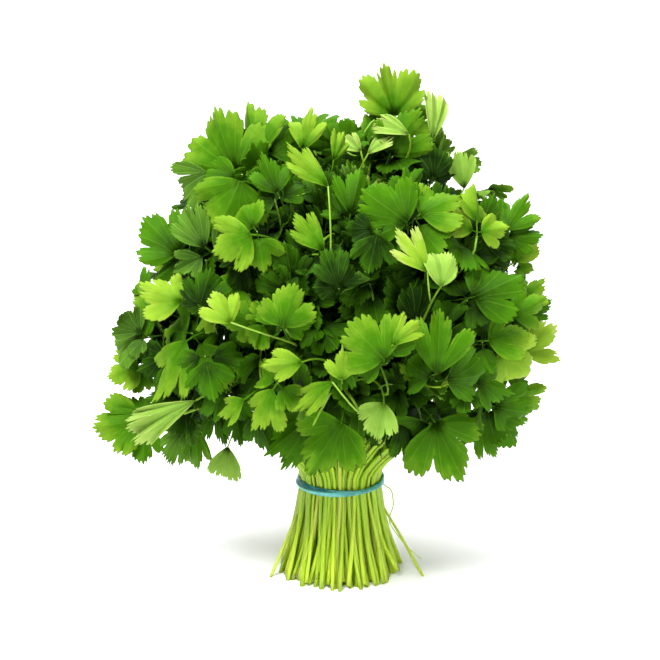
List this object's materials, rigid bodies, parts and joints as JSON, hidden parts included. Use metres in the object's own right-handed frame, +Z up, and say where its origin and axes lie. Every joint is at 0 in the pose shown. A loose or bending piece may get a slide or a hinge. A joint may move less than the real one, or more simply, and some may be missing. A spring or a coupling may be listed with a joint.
{
  "type": "coriander bunch",
  "caption": "Bunch of fresh coriander: leafy sprigs whose stems are gathered by a twisted rubber band and flare to level cut ends, so the bunch stands by itself.",
  "frame": {"origin": "on the surface that the bunch stands on, under the middle of its bounding box", "axes": "+Z up along the stems, from the cut ends towards the leaves; -Y is the front, +X to the right of someone who looks at the front"},
  "size_m": [0.2334, 0.219, 0.2749],
  "materials": {
    "leaf": "fresh coriander leaf, thin, mid green and softly waxy above, paler and matt below, light shows through it",
    "stem": "fresh coriander stem, yellow green, smooth with fine lengthwise ribs, wet pale flesh at the cut",
    "band": "teal rubber band, thin cut strip, smooth, slightly translucent, stretched and twisted"
  },
  "bodies": {
    "root": {"sprig_01": "leaf", "sprig_02": "leaf", "sprig_03": "leaf", "sprig_04": "leaf", "sprig_05": "leaf", "sprig_06": "leaf", "sprig_07": "leaf", "sprig_08": "leaf", "sprig_09": "leaf", "sprig_10": "leaf", "sprig_11": "leaf", "sprig_12": "leaf", "sprig_13": "leaf", "sprig_14": "leaf", "sprig_15": "leaf", "sprig_16": "leaf", "sprig_17": "leaf", "sprig_18": "leaf", "sprig_19": "leaf", "sprig_20": "leaf", "sprig_21": "leaf", "sprig_22": "leaf", "sprig_23": "leaf", "sprig_24": "leaf", "sprig_25": "leaf", "sprig_26": "leaf", "sprig_27": "leaf", "sprig_28": "leaf", "sprig_29": "leaf", "sprig_30": "leaf", "sprig_31": "leaf", "sprig_32": "leaf", "sprig_33": "leaf", "sprig_34": "leaf", "sprig_35": "leaf", "sprig_36": "leaf", "sprig_37": "leaf", "sprig_38": "leaf", "sprig_39": "leaf", "sprig_40": "leaf", "sprig_41": "leaf", "sprig_42": "leaf", "sprig_43": "leaf", "sprig_44": "leaf", "sprig_45": "leaf", "sprig_46": "leaf", "sprig_47": "leaf", "sprig_48": "leaf", "sprig_49": "leaf", "sprig_50": "leaf", "sprig_51": "leaf", "sprig_52": "leaf", "sprig_53": "leaf", "sprig_54": "leaf", "stray_stem_right": "stem", "stray_stem_left": "stem", "stray_stem_back": "stem", "rubber_band": "band"}
  },
  "joints": []
}
